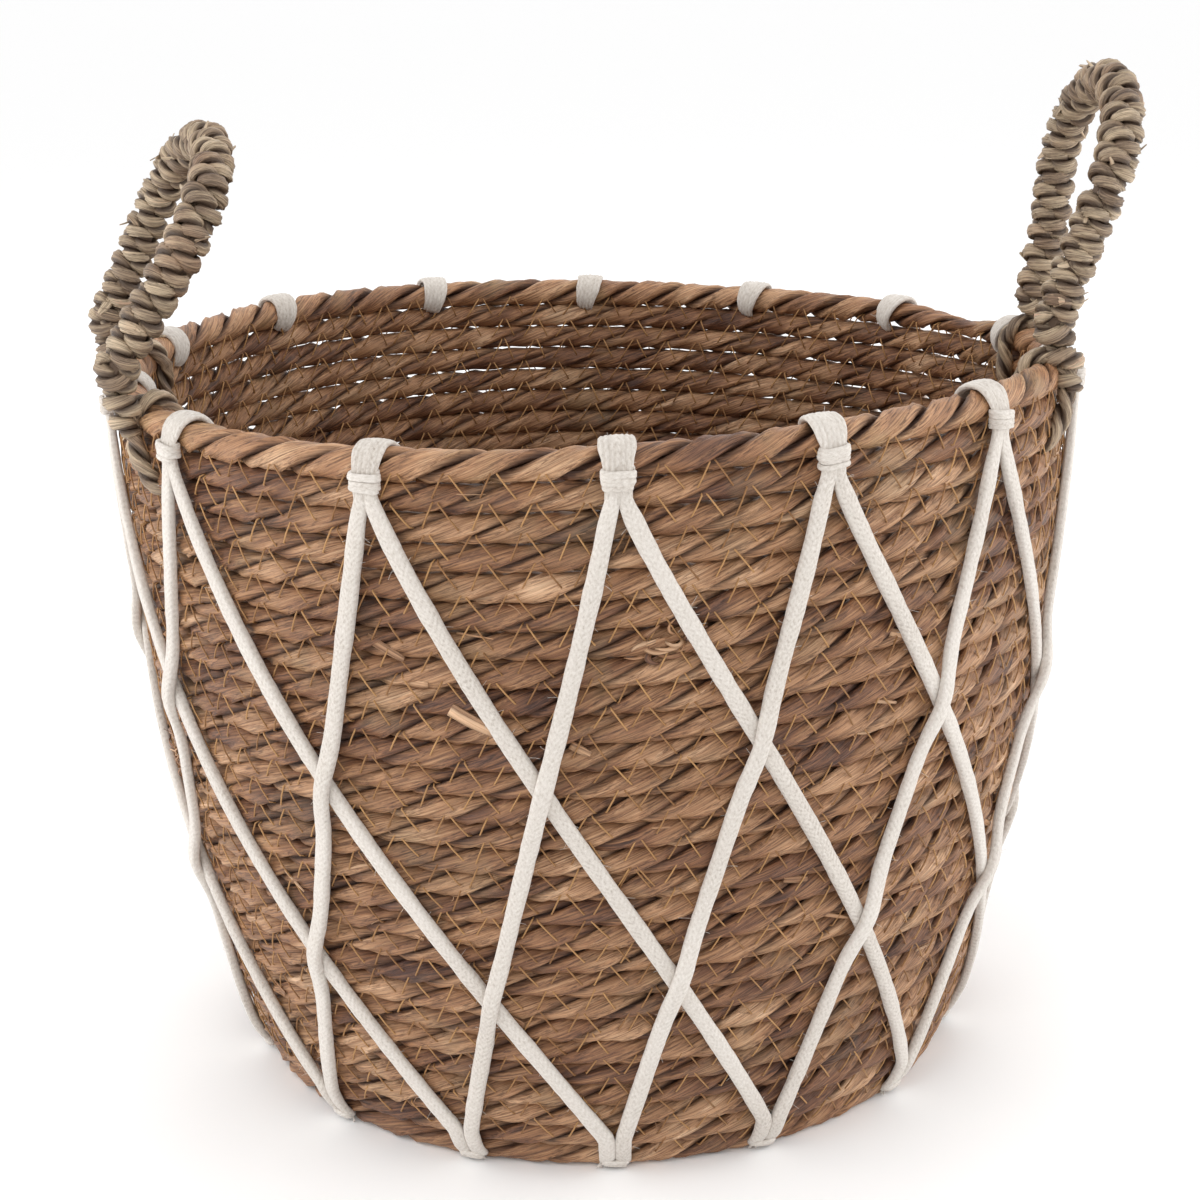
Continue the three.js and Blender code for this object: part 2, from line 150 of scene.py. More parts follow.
def at(angle, r, z):
    angle, r, z = np.broadcast_arrays(angle, r, z)
    return np.stack([r * np.sin(angle), -r * np.cos(angle), z], -1).astype(float)


def wall_radius(z):
    t = z / RIM_Z
    cone = BASE_R + (RIM_R - BASE_R) * t
    return cone + BELLY * 4 * t * (1 - t) - EDGE_ROUND * np.exp(-z / EDGE_HEIGHT)


def tie_angle(k, drift):
    return FIRST_TIE + k * TIE_STEP + math.radians(drift[k % TIES])


def off_wall(angle, along, out, z):
    """A point by its place along the rim from an angle, its distance out of the wall, and its height."""
    r = wall_radius(z) + ROPE_R + out
    return at(angle + along / r, r, z)


def off_rim(angle, along, out, up):
    """A point near the rim rope: along the rim, out of its middle line, and up from it."""
    r = RIM_R + out
    return at(angle + along / r, r, RIM_Z + up)


def out_of_true(points):
    """The tub is a little oval and its rim isn't level. Every piece of it follows that."""
    angle = np.arctan2(points[:, 0], -points[:, 1])
    lift = WAVE * (points[:, 2] / RIM_Z) * np.sin(2 * angle)
    return np.stack([points[:, 0] * (1 + OVAL), points[:, 1] * (1 - OVAL), points[:, 2] + lift], -1)


# ---- skins: closed tubes that carry what their material needs ----
PLY_SIDES = 14
PLY_TWIST = 0.55             # turns that the leaf makes in its own ply, against each turn of the plies
PLY_SWELL = 0.09             # how much the thickness of a ply varies
TURN_WANDER = 0.22           # how far the plies run ahead or behind, in turns
TONE_SLOW, TONE_FAST = 0.34, 0.16  # how far colour varies over long and over short lengths
# The creases between plies get painted shade: these two say where it starts and how fast it darkens.
CREASE_REACH = 0.98          # a ply lies in the crease inside this share of the rope's radius
CREASE_GAIN = 3.2            # how fast the crease gets deep from there

# A twisted rope has two plies. Each is an oval with its middle `offset` from the rope's middle, and the
# half sizes `radial` and `wide`. They turn once in `period`. `flat` squeezes the rope along its outward
# direction, and `ridge` is how high the leaf's ridges stand, as a share of the oval.
Plies = namedtuple("Plies", "offset radial wide period flat ridge")


class Skin:
    """Corner points and faces of one closed tube. `strand` is each point's place on the straightened
    strand, `tone` its own colour, and `depth` how deep it lies between strands, both from 0 to 1."""

    # depth puts painted shade into the colour of the creases.
    def __init__(self, rings, strand, tone, depth):
        count, sides = rings.shape[:2]
        self.points = rings.reshape(-1, 3)
        self.strand = np.broadcast_to(strand, rings.shape).reshape(-1, 3)
        self.tone = np.broadcast_to(tone, (count, sides)).reshape(-1)
        self.depth = np.broadcast_to(depth, (count, sides)).reshape(-1)
        i = np.arange(count - 1)[:, None]
        j = np.arange(sides)[None, :]
        beside = (j + 1) % sides
        corners = [i * sides + j, i * sides + beside, (i + 1) * sides + beside, (i + 1) * sides + j]
        self.quads = np.stack(corners, -1).reshape(-1, 4)
        self.caps = [np.arange(sides)[::-1], (count - 1) * sides + np.arange(sides)]


def make_piece(name, skins, material, of_tub=True):
    """One mesh object from skins, in metres. Pieces of the tub are put out of true with it."""
    starts = np.cumsum([0] + [len(skin.points) for skin in skins])
    points = np.concatenate([skin.points for skin in skins])
    if of_tub:
        points = out_of_true(points)
    quads = np.concatenate([skin.quads + start for skin, start in zip(skins, starts)])
    caps = [cap + start for skin, start in zip(skins, starts) for cap in skin.caps]
    corners = np.concatenate([quads.reshape(-1)] + caps).astype(np.int32)
    sizes = np.array([4] * len(quads) + [len(cap) for cap in caps])
    face_starts = np.concatenate([[0], np.cumsum(sizes)[:-1]]).astype(np.int32)
    mesh = bpy.data.meshes.new(name)
    mesh.vertices.add(len(points))
    mesh.vertices.foreach_set("co", (points * MM).astype(np.float32).ravel())
    mesh.loops.add(len(corners))
    mesh.polygons.add(len(sizes))
    mesh.polygons.foreach_set("loop_start", face_starts)
    mesh.polygons.foreach_set("vertices", corners)
    mesh.update(calc_edges=True)
    mesh.polygons.foreach_set("use_smooth", np.ones(len(sizes), bool))
    strand = mesh.attributes.new("strand", "FLOAT_VECTOR", "POINT")
    strand.data.foreach_set("vector", np.concatenate([s.strand for s in skins]).astype(np.float32).ravel())
    for key in ("tone", "depth"):
        values = np.concatenate([getattr(skin, key) for skin in skins]).astype(np.float32)
        mesh.attributes.new(key, "FLOAT", "POINT").data.foreach_set("value", values)
    mesh.materials.append(material)
    piece = bpy.data.objects.new(name, mesh)
    bpy.context.scene.collection.objects.link(piece)
    return piece


def outward(path):
    """Level directions away from the tub's axis."""
    return unit(path * [1, 1, 0])


def ring_angles(sides):
    return np.arange(sides) * math.tau / sides


def tapered(share, tip):
    """A thickness that grows from `tip` to 1 as share goes from 0 to 1."""
    return tip + (1 - tip) * share


def flat_tube(path, out, width, thick, sides, tone, seed):
    """A tube of oval section: width across it and thickness along out."""
    s = arc_length(path)
    across, out = moving_frame(path, out)
    psi = ring_angles(sides)
    shape = (len(path), sides)
    u = np.broadcast_to(np.asarray(width, float).reshape(-1, 1) / 2 * np.cos(psi), shape)
    v = np.broadcast_to(np.asarray(thick, float).reshape(-1, 1) / 2 * np.sin(psi), shape)
    rings = path[:, None] + u[..., None] * across[:, None] + v[..., None] * out[:, None]
    place = np.broadcast_to(s[:, None] + 17.3 * seed, shape)
    return Skin(rings, np.stack([place, u, v], -1), tone, 0.0)


def leaf_ridges(s, psi, plies, seed):
    """Ridges of leaf along a ply, which drift round it."""
    broad = 5 * psi + 2.5 * wander(s, plies.period, seed + 12)[:, None]
    fine = 8 * psi + 3 * wander(s, 0.7 * plies.period, seed + 13)[:, None]
    return plies.ridge * np.cos(broad) + 0.7 * plies.ridge * np.cos(fine)


def twisted(path, out, plies, seed, size, tone_step):
    """Skins of the two plies of a rope. `size` scales it along its length."""
    s = arc_length(path)
    across, out = moving_frame(path, out)
    size = np.broadcast_to(size, s.shape)[:, None]
    turn = s / plies.period + TURN_WANDER * wander(s, 2.3 * plies.period, seed)
    psi = ring_angles(PLY_SIDES)[None, :]
    skins = []
    for ply in range(2):
        phase = (-math.tau * turn + math.pi * ply)[:, None]
        own = 100 * seed + ply
        swell = 1 + PLY_SWELL * wander(s, 0.8 * plies.period, own + 11)[:, None]
        bulge = swell + leaf_ridges(s, psi, plies, own)
        r = size * (plies.offset + plies.radial * bulge * np.cos(psi))
        t = size * plies.wide * bulge * np.sin(psi)
        u = r * np.cos(phase) - t * np.sin(phase)
        v = (r * np.sin(phase) + t * np.cos(phase)) * plies.flat
        rings = path[:, None] + u[..., None] * across[:, None] + v[..., None] * out[:, None]
        reach = np.hypot(u, v / plies.flat) / (size * (plies.offset + plies.radial))
        # Painted shade: depth darkens a ply's colour where it lies in the crease between plies.
        depth = np.clip((CREASE_REACH - reach) * CREASE_GAIN, 0, 1)
        slow = TONE_SLOW * wander(s, tone_step, own + 14)
        fast = TONE_FAST * wander(s, tone_step / 4, own + 15)
        tone = 0.5 + slow + fast
        place = np.broadcast_to(s[:, None] + 37.0 * own, u.shape)
        back = PLY_TWIST * phase
        heart = r - size * plies.offset
        across_leaf = heart * np.cos(back) - t * np.sin(back)
        through_leaf = heart * np.sin(back) + t * np.cos(back)
        strand = np.stack([place, across_leaf, through_leaf], -1)
        skins.append(Skin(rings, strand, tone[:, None], depth))
    return skins


# ---- materials ----


def srgb(*channels):
    """A Blender colour from 0-255 display values."""
    shares = [c / 255 for c in channels]
    return [c / 12.92 if c <= 0.04045 else ((c + 0.055) / 1.055) ** 2.4 for c in shares] + [1.0]


class Shader:
    """A few short calls for building a material's nodes."""

    def __init__(self, name, roughness, specular=0.3):
        self.material = bpy.data.materials.new(name)
        self.material.use_nodes = True
        self.tree = self.material.node_tree
        self.surface = self.tree.nodes["Principled BSDF"]
        self.surface.inputs["Roughness"].default_value = roughness
        self.surface.inputs["Specular IOR Level"].default_value = specular

    def node(self, kind, inputs=(), **settings):
        made = self.tree.nodes.new("ShaderNode" + kind)
        for key, value in settings.items():
            setattr(made, key, value)
        for key, value in dict(inputs).items():
            self.put(value, made.inputs[key])
        return made

    def put(self, value, socket):
        if isinstance(value, bpy.types.NodeSocket):
            self.tree.links.new(value, socket)
        else:
            socket.default_value = value

    def attribute(self, name, output="Fac"):
        return self.node("Attribute", attribute_name=name).outputs[output]

    def stretched(self, vector, scale):
        return self.node("Mapping", {"Vector": vector, "Scale": scale}).outputs["Vector"]

    def noise(self, vector, scale, detail=3.0, rough=0.55, distortion=0.0):
        inputs = {"Vector": vector, "Scale": scale, "Detail": detail}
        inputs.update({"Roughness": rough, "Distortion": distortion})
        return self.node("TexNoise", inputs).outputs["Fac"]

    def fibre_noise(self, strand, along, across, **settings):
        """Noise on the straightened strand, with its own scale along it and across it."""
        return self.noise(self.stretched(strand, (along, across, across)), 1.0, **settings)

    def math(self, operation, a, b=0.0, clamp=False):
        return self.node("Math", {0: a, 1: b}, operation=operation, use_clamp=clamp).outputs[0]

    def ramp(self, value, stops):
        made = self.node("ValToRGB", {"Fac": value})
        elements = made.color_ramp.elements
        while len(elements) < len(stops):
            elements.new(0.5)
        for element, (place, colour) in zip(elements, stops):
            element.position = place
            element.color = colour
        return made.outputs["Color"]

    def mix(self, share, a, b, blend="MIX"):
        made = self.node("Mix", data_type="RGBA", blend_type=blend)
        for key, value in (("Factor_Float", share), ("A_Color", a), ("B_Color", b)):
            socket = next(i for i in made.inputs if i.identifier == key)
            self.put(value, socket)
        return next(o for o in made.outputs if o.identifier == "Result_Color")

    def bump(self, height, strength, distance, normal=None):
        inputs = {"Height": height, "Strength": strength, "Distance": distance}
        if normal is not None:
            inputs["Normal"] = normal
        return self.node("Bump", inputs).outputs["Normal"]

    def finish(self, colour, normal):
        self.put(colour, self.surface.inputs["Base Color"])
        self.put(normal, self.surface.inputs["Normal"])
        return self.material


BLACK, WHITE = (0, 0, 0, 1), (1, 1, 1, 1)
FIBRE_DARK, FIBRE_LIGHT = (0.40, 0.36, 0.34, 1), (1.25, 1.22, 1.2, 1)
TONE_SHARE, BAND_SHARE, FIBRE_SHARE = 0.85, 0.9, 0.7  # what a leaf's colour is made of
TONE_MIDDLE = 0.76           # taken off their sum, so that it spreads about the middle of the ramp


def leaf_material(name, stops, crease_shade, patch, roughness=0.5):
    """Dried leaf twisted into rope: fibres along it, leaves of different colours, and painted shade in the
    creases between its plies.
    """
    shader = Shader(name, roughness, 0.5)
    strand = shader.attribute("strand", "Vector")
    place = shader.node("TexCoord").outputs["Object"]
    fibres = shader.fibre_noise(strand, 0.03, 1.5, detail=5.0, rough=0.7)
    bands = shader.fibre_noise(strand, 0.02, 0.42, detail=2.0, distortion=0.8)
    blotch = shader.noise(place, 34.0, detail=3.0)
    own_tone = shader.math("MULTIPLY", shader.attribute("tone"), TONE_SHARE)
    band_tone = shader.math("MULTIPLY", bands, BAND_SHARE)
    fibre_tone = shader.math("MULTIPLY", fibres, FIBRE_SHARE)
    tone = shader.math("ADD", own_tone, shader.math("ADD", band_tone, fibre_tone))
    tone = shader.math("SUBTRACT", tone, TONE_MIDDLE, clamp=True)
    colour = shader.ramp(tone, stops)
    spots = shader.ramp(blotch, [(0.52, BLACK), (0.70, WHITE)])
    colour = shader.mix(shader.math("MULTIPLY", spots, 0.35), colour, patch)
    lines = shader.ramp(fibres, [(0.38, FIBRE_DARK), (0.5, WHITE), (0.62, FIBRE_LIGHT)])
    colour = shader.mix(0.85, colour, lines, "MULTIPLY")
    # Painted shade: the creases between plies are mixed towards the dark crease colour by depth.
    colour = shader.mix(shader.attribute("depth"), colour, crease_shade)
    ridges = shader.bump(bands, 0.55, 0.0011)
    normal = shader.bump(fibres, 0.9, 0.0006, ridges)
    return shader.finish(colour, normal)


COTTON_STOPS = [(0.25, srgb(166, 154, 143)), (0.5, srgb(206, 198, 189)), (0.85, srgb(230, 224, 217))]
# Painted shade for the grooves between a saddle's yarns.
COTTON_CREASE_SHADE = srgb(168, 152, 136)
THREAD_STOPS = [(0.2, srgb(132, 92, 56)), (0.8, srgb(188, 144, 94))]


def cotton_material():
    """Soft braided cotton: small flecks in rows of V along the cord, fine fuzz, and painted shade in the
    grooves between yarns.
    """
    shader = Shader("cotton", 0.9, 0.12)
    strand = shader.attribute("strand", "Vector")
    parts = shader.node("SeparateXYZ", {"Vector": strand}).outputs
    slant = shader.math("MULTIPLY", shader.math("ABSOLUTE", parts["Y"]), 1.3)
    row = shader.math("MULTIPLY", shader.math("ADD", parts["X"], slant), 2.4)
    flecks = shader.math("SINE", row)
    yarn = shader.fibre_noise(strand, 0.7, 1.1, detail=4.0, rough=0.75)
    fuzz = shader.fibre_noise(strand, 2.2, 4.5, detail=3.0)
    relief = shader.math("ADD", shader.math("MULTIPLY", flecks, 0.04), yarn)
    own_tone = shader.math("MULTIPLY", shader.attribute("tone"), 0.15)
    colour = shader.ramp(shader.math("ADD", relief, own_tone), COTTON_STOPS)
    # Painted shade: the grooves between a saddle's yarns are darkened by depth.
    crease_shade = shader.math("MULTIPLY", shader.attribute("depth"), 0.7)
    colour = shader.mix(crease_shade, colour, COTTON_CREASE_SHADE)
    shader.surface.inputs["Sheen Weight"].default_value = 0.25
    shader.surface.inputs["Sheen Roughness"].default_value = 0.5
    normal = shader.bump(relief, 0.55, 0.0006)
    return shader.finish(colour, shader.bump(fuzz, 0.35, 0.0002, normal))


def thread_material():
    """Waxed sewing thread, golden, with its twist."""
    shader = Shader("stitch_thread", 0.5, 0.35)
    strand = shader.attribute("strand", "Vector")
    parts = shader.node("SeparateXYZ", {"Vector": strand}).outputs
    slant = shader.math("ADD", parts["X"], parts["Y"])
    lay = shader.math("SINE", shader.math("MULTIPLY", slant, 5.0))
    worn = shader.math("MULTIPLY", shader.noise(strand, 0.4, detail=2.0), 0.4)
    own_tone = shader.math("MULTIPLY", shader.attribute("tone"), 0.6)
    colour = shader.ramp(shader.math("ADD", own_tone, worn), THREAD_STOPS)
    return shader.finish(colour, shader.bump(lay, 0.4, 0.0002))


RUSH_STOPS = [(0.0, srgb(74, 44, 32)), (0.28, srgb(122, 82, 56)), (0.52, srgb(154, 112, 78)),
              (0.76, srgb(180, 139, 104)), (1.0, srgb(208, 172, 138))]
RIM_STOPS = [(0.0, srgb(96, 62, 44)), (0.3, srgb(140, 98, 68)), (0.6, srgb(170, 126, 90)),
             (1.0, srgb(206, 168, 132))]
GRASS_STOPS = [(0.0, srgb(100, 80, 64)), (0.3, srgb(148, 126, 103)), (0.6, srgb(180, 160, 133)),
               (0.85, srgb(202, 181, 153)), (1.0, srgb(208, 170, 142))]

# The third colour of each leaf material is the painted shade of its creases.
rush = leaf_material("rush", RUSH_STOPS, srgb(52, 30, 20), srgb(140, 122, 92))
rim_rush = leaf_material("rim_rush", RIM_STOPS, srgb(64, 38, 24), srgb(160, 140, 100))
seagrass = leaf_material("seagrass", GRASS_STOPS, srgb(80, 62, 48), srgb(178, 138, 108))
core_grass = leaf_material("core_grass", GRASS_STOPS, srgb(58, 44, 32), srgb(120, 96, 70), 0.75)
cotton = cotton_material()
thread = thread_material()

# ---- the coiled rope ----
ROPE_MIDDLE = COURSE_PITCH / 2  # height of the middle of the lowest course
STEP_FROM, STEP_TO = 98 / 360, 138 / 360  # where each turn steps on to the next, as shares of a turn
BASE_TURNS = 12
TURN_DETAIL = 400            # points in a turn while its length is measured
COIL_PLIES = Plies(offset=2.3, radial=3.15, wide=5.25, period=52.0, flat=1.0, ridge=0.06)
RINGS_A_TWIST = 16           # rings of each ply in one turn of the plies
ROPE_UNEVEN = 0.03           # how much the rope's thickness varies
COIL_UNEVEN_STEP, COIL_TONE_STEP = 90, 40.0
COIL_TIP = 0.25              # thickness of its two ends, as a share
COIL_START, COIL_END = 30, 60  # lengths over which they get that thin
SLIM, SLIM_Z, SLIM_RISE = 0.07, 225, 40  # the top courses are a little thinner, from this height on

RIM_PLIES = Plies(offset=2.8, radial=3.0, wide=5.2, period=48.0, flat=1.0, ridge=0.06)
RIM_FROM, RIM_SWEEP = 108, 372  # degrees: the rim rope laps over its own start
RIM_RINGS = 420
RIM_TIP = 0.35
LAP = 0.35                   # radians over which a lapped end gets thin
LAP_INSET, LAP_DROP = 2.0, 3.0  # how far in its start lies, and how far down its end
RIM_UNEVEN_STEP, RIM_TONE_STEP = 70, 50.0


def turns_done(turn):
    """Whole turns finished, with a smooth step on to the next one."""
    step = STEP_TO - STEP_FROM
    share = (turn - STEP_FROM) % 1
    return np.floor(turn - STEP_FROM) + 1 + smoothstep((share - 1 + step) / step)


def coil_place(turn):
    """The course that a turn of the rope lies in, and its radius and height there."""
    course = turns_done(turn)
    z = ROPE_MIDDLE + COURSE_PITCH * np.maximum(course, 0)
    return course, wall_radius(z) + COURSE_PITCH * np.minimum(course, 0), z


def coil_path(step):
    """The middle line of the rope: a flat coil from the middle of the floor, then up the wall."""
    turns = np.linspace(-BASE_TURNS, COURSES - 1 + STEP_FROM, TURN_DETAIL * (BASE_TURNS + COURSES))
    _, r, z = coil_place(turns)
    s = arc_length(at(math.tau * turns, r, z))
    places = np.linspace(0, s[-1], int(s[-1] / step))
    turn = np.interp(places, s, turns)
    course, r, z = coil_place(turn)
    path = at(math.tau * turn, r, z)
    out = np.where((course < 0)[:, None], [0.0, 0.0, -1.0], at(math.tau * turn, 1.0, 0.0))
    return path, out, z


def rope_coil():
    path, out, z = coil_path(COIL_PLIES.period / RINGS_A_TWIST)
    s = arc_length(path)
    slim = 1 - SLIM * smoothstep((z - SLIM_Z) / SLIM_RISE)
    ends = smoothstep(s / COIL_START) * smoothstep((s[-1] - s) / COIL_END)
    uneven = 1 + ROPE_UNEVEN * wander(s, COIL_UNEVEN_STEP, 5)
    size = slim * tapered(ends, COIL_TIP) * uneven
    skins = twisted(path, out, COIL_PLIES, 1, size, COIL_TONE_STEP)
    for skin in skins:
        skin.points[:, 2] = np.maximum(skin.points[:, 2], 0.0)
    piece = make_piece("rope_coil", skins, rush)
    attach(piece, "tub")
    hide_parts("base_coil", "wall_coil")


def rim_rope():
    angle = np.linspace(math.radians(RIM_FROM), math.radians(RIM_FROM + RIM_SWEEP), RIM_RINGS)
    s = (angle - angle[0]) * RIM_R
    start = smoothstep((angle - angle[0]) / LAP)
    end = smoothstep((angle[-1] - angle) / LAP)
    path = at(angle, RIM_R - LAP_INSET * (1 - start), RIM_Z - LAP_DROP * (1 - end))
    uneven = 1 + ROPE_UNEVEN * wander(s, RIM_UNEVEN_STEP, 9)
    size = tapered(start, RIM_TIP) * tapered(end, RIM_TIP) * uneven
    skins = twisted(path, at(angle, 1.0, 0.0), RIM_PLIES, 2, size, RIM_TONE_STEP)
    piece = make_piece("rim_rope_twist", skins, rim_rush)
    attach(piece, "tub")
    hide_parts("rim_rope")


# ---- stitches ----
STITCH_PITCH = 16.5
STITCH_R = 0.33
STITCH_CLEAR = 3             # no stitch is put nearer than this to the rim rope's middle
# Heights of points along a leg over the rope. Its ends dive in.
LEG_SHARES = np.array([0.0, 0.1, 0.5, 0.9, 1.0])
LEG_LIFT = np.array([-2.2, 0.45, 0.75, 0.45, -2.2])
LEG_CLEAR = 0.1
# The two legs of a stitch start beside each other above the groove, and end below it.
APEX_GAP = 0.5
APEX_RISE = (4.2, 6.0)
LEG_REACH = (-5.4, 7.8)
LEG_DROP = ((-6.2, -4.0), (-6.4, -5.0))


def stitch_leg(start, end, outside, tone, seed):
    """One straight leg of thread between two places (angle, height) on the wall."""
    angle = start[0] + (end[0] - start[0]) * LEG_SHARES
    z = start[1] + (end[1] - start[1]) * LEG_SHARES
    side = 1 if outside else -1
    path = at(angle, wall_radius(z) + side * (ROPE_R + LEG_CLEAR + LEG_LIFT), z)
    out = side * at(angle, 1.0, 0.0)
    return flat_tube(path, out, 2 * STITCH_R, 2 * STITCH_R, 5, tone, seed)


def stitches(outside):
    """A zigzag of thread round the tub at each groove between two courses."""
    rng = np.random.default_rng(31 if outside else 32)
    skins = []
    for groove in range(COURSES):
        r = wall_radius(COURSE_PITCH * (groove + 1))
        count = round(math.tau * r / STITCH_PITCH)
        shift = rng.uniform()
        for k in range(count):
            turn = groove + (k + shift + rng.uniform(-0.07, 0.07)) / count
            height = COURSE_PITCH * (turns_done(turn) + 1)
            if height > RIM_Z - STITCH_CLEAR:
                continue
            angle = math.tau * turn
            top = height + rng.uniform(*APEX_RISE)
            drops = [rng.uniform(*drop) for drop in LEG_DROP]
            for reach, drop in zip(LEG_REACH, drops):
                apex = (angle + APEX_GAP * np.sign(reach) / r, top)
                foot = (angle + reach * rng.uniform(0.85, 1.1) / r, height + drop)
                tone = rng.uniform(0.1, 0.9)
                skins.append(stitch_leg(apex, foot, outside, tone, len(skins) % 97))
    name = "stitches_outside" if outside else "stitches_inside"
    piece = make_piece(name, skins, thread)
    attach(piece, "tub")


# ---- cotton lacing ----
CORD_W = 6.4
CORD_T = 4.0
CORD_W_IN_WHIPPING = 5.0
SIDE = 3.1                   # two strands lie side by side, this far from their middle line
STRAND_OUT = 2.9             # middle of a strand from the wall's outside
STRAND_HUMP = 4.0            # how far a strand rises to pass over another
HUMP_SHARE = 0.055           # half the length of that rise, as a share of the strand
BOUND_OUT = 3.6              # middle of a strand from the wall's outside at its two ends
STRAND_TOP = 289.0
STRAND_FOOT = 18.0
STRAND_BOW = 1.12            # above 1, a strand falls more steeply near the rim
STRAND_STEP = 2.6
# A strand comes out of its whipping at these places along the rim, out of the wall and below the rim.
TOP_ALONG = np.array([0.8, 1.2, 1.9])
TOP_OUT = np.array([3.9, 3.8, 3.7])
TOP_DROP = np.array([3.0, 7.0, 12.0])
# It goes in under the lower edge by these.
FOOT_OUT = np.array([3.4, 3.2, 2.6, 1.4])
FOOT_Z = np.array([14.0, 10.0, 6.5, 3.6])
# Its thickness at each height.
THICK_Z = (5, 14, 272, 286)
THICKNESS = (3.0, CORD_T, CORD_T, 3.4)

# The saddle goes up a neck, over the rim rope and back under it.
SADDLE_W = 12.6
SADDLE_T = 2.7
SADDLE_CLEAR = 0.9           # from the rim rope
SADDLE_FROM, SADDLE_TO = 24, 240  # degrees round the rim rope, from straight out
SADDLE_RINGS = 20
SLIDE_FROM, SLIDE_OVER = 1.6, 2.4  # radians round the rim rope where it slides along the rim
SADDLE_STEP = 1.3
NECK_OUT = np.array([3.7, 3.9, 4.2, 4.2, 3.9])
NECK_UP = np.array([-13.0, -10.0, -7.0, -4.0, -1.0])
NECK_LENGTH = 20
SADDLE_PLACES = (0, 12, NECK_LENGTH, 26, 34)  # the last width is at the saddle's end
SADDLE_WIDTHS = (9.0, 9.6, 12.4, SADDLE_W, 11.0, 7.0)

# The skin of a soft cord.
CORD_SQUARE = 0.75           # 1 is an oval, and less is nearer to a rectangle
BRAID, BRAID_PITCH, BRAID_SLANT = 0.035, 2.6, 3.4
YARN_PITCH = 1.75
SADDLE_YARNS = 0.17          # how deep the grooves between a saddle's yarns are
FUZZ_R = 0.065


def crossings(k):
    """Where the strand that goes left from a tie passes over two others, as shares of its angle."""
    start = tie_angle(k, RIM_DRIFT)
    sweep = tie_angle(k - 1, BASE_DRIFT) - start
    for other in (k - 2, k - 1):
        other_start = tie_angle(other, RIM_DRIFT)
        other_sweep = tie_angle(other + 2, BASE_DRIFT) - other_start
        yield (start - other_start) / (other_sweep - sweep)


def strand_path(k, steps):
    """A strand from inside a rim whipping to the lower edge, `steps` ties along."""
    side = math.copysign(1, steps)
    rim, base = tie_angle(k, RIM_DRIFT), tie_angle(k + steps, BASE_DRIFT)
    top = off_wall(rim, side * TOP_ALONG, TOP_OUT, RIM_Z - TOP_DROP)
    s = np.linspace(0, 1, 90)
    ends = np.minimum(1, np.minimum(7 * s, 7 * (1 - s)))
    x = s ** STRAND_BOW
    out = BOUND_OUT + (STRAND_OUT - BOUND_OUT) * ends
    if steps < 0:
        for crossing in crossings(k):
            near = (x - crossing) / HUMP_SHARE
            out = out + STRAND_HUMP * np.exp(-near ** 2)
    z = STRAND_TOP + (STRAND_FOOT - STRAND_TOP) * s
    along = side * SIDE * (1 - 2 * s)
    points = off_wall(rim + (base - rim) * x, along, out, z)
    foot = off_wall(base, -side * SIDE, FOOT_OUT, FOOT_Z)
    return resample(np.concatenate([top, points[2:], foot]), STRAND_STEP)


def saddle_path(angle):
    """A saddle's points, outward directions and widths."""
    reach = RIM_ROPE_R + SADDLE_CLEAR + SADDLE_T / 2
    phi = np.radians(np.linspace(SADDLE_FROM, SADDLE_TO, SADDLE_RINGS))
    along = SIDE * smoothstep((phi - SLIDE_FROM) / SLIDE_OVER)
    over = off_rim(angle, along, reach * np.cos(phi), reach * np.sin(phi))
    neck = off_wall(angle, 0.0, NECK_OUT, RIM_Z + NECK_UP)
    path = resample(np.concatenate([neck, over]), SADDLE_STEP)
    place = arc_length(path)
    from_rope = path - at(np.array([angle]), RIM_R, RIM_Z)
    on_rope = (path[:, 2] > RIM_Z) | (place > NECK_LENGTH)
    out = np.where(on_rope[:, None], from_rope, outward(path))
    return path, unit(out), np.interp(place, [*SADDLE_PLACES, place[-1]], SADDLE_WIDTHS)


def squared(value, power):
    """A cosine or sine, raised to a power with its sign kept, which squares off a round section."""
    return np.sign(value) * np.abs(value) ** power


def cord_skin(path, out, width, thick, seed, sides=24, ridges=0.0):
    """A soft flat cord. Its edges are rounded, and it's never quite even. `ridges` shows separate yarns."""
    s = arc_length(path)
    across, out = moving_frame(path, out)
    psi = ring_angles(sides)[None, :]
    uneven = 1 + 0.05 * wander(s, 9, seed)[:, None] + 0.03 * wander(s, 3.2, seed + 1)[:, None]
    u = np.asarray(width).reshape(-1, 1) / 2 * uneven * squared(np.cos(psi), CORD_SQUARE)
    braid = BRAID * np.cos(math.tau * (s[:, None] / BRAID_PITCH + np.abs(u) / BRAID_SLANT))
    yarns = ridges * np.cos(math.tau * u / YARN_PITCH)
    bulge = uneven + braid + yarns
    v = np.asarray(thick).reshape(-1, 1) / 2 * bulge * squared(np.sin(psi), CORD_SQUARE)
    rings = path[:, None] + u[..., None] * across[:, None] + v[..., None] * out[:, None]
    place = np.broadcast_to(s[:, None] + 29.0 * seed, u.shape)
    tone = 0.5 + 0.5 * wander(s, 40, seed + 2)[:, None]
    # depth marks the grooves between yarns, where the material paints shade.
    return Skin(rings, np.stack([place, u, v], -1), tone, np.clip(-2 * yarns, 0, 1))


